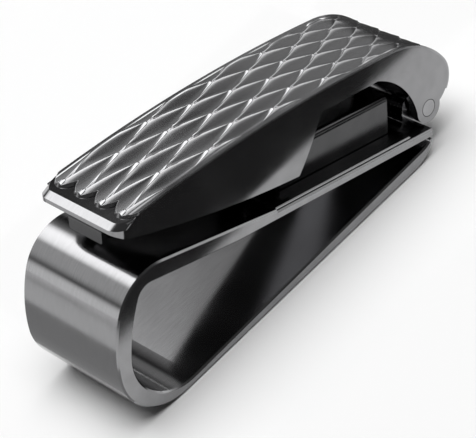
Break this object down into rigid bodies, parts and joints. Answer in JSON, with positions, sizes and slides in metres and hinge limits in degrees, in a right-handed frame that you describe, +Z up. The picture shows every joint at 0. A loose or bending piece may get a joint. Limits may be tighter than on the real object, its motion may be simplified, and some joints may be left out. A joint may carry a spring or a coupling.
{
  "type": "money clip",
  "caption": "Spring money clip: a bent metal strip with a hinged engraved lever cover that clamps notes on the upper arm.",
  "frame": {"origin": "on the surface that the lower arm lies on, midway along the length and the width", "axes": "+X from the front bend to the hinge, +Y across the width, +Z up"},
  "size_m": [0.0568, 0.016, 0.024],
  "materials": {
    "polished_band": "mirror polished",
    "engraved_cover": "engraved and polished",
    "inner_steel": "fine satin",
    "spring_steel": "tempered",
    "pin_steel": "polished"
  },
  "bodies": {
    "band": {"clip_band": "polished_band", "top_plate": "polished_band", "plate_rivets": "pin_steel", "hinge_washer_left": "inner_steel", "hinge_washer_right": "inner_steel"},
    "lever": {"lever_cover": "engraved_cover", "guide_studs": "inner_steel", "hinge_pin": "pin_steel", "foot_spring": "spring_steel"},
    "foot": {"clamp_foot": "inner_steel"}
  },
  "joints": [
    {"name": "lever_hinge", "type": "hinge", "parent": "band", "child": "lever", "pos_m": [0.02406, 0, 0.00511], "axis": [0, 1, 0], "range_deg": [0, 90]},
    {"name": "foot_travel", "type": "slide", "parent": "lever", "child": "foot", "axis": [0.299, 0, 0.9542], "range_m": [0, 0.0008], "stiffness_N_per_m": 300, "springref_m": -0.001, "deforming": ["foot_spring"]}
  ]
}
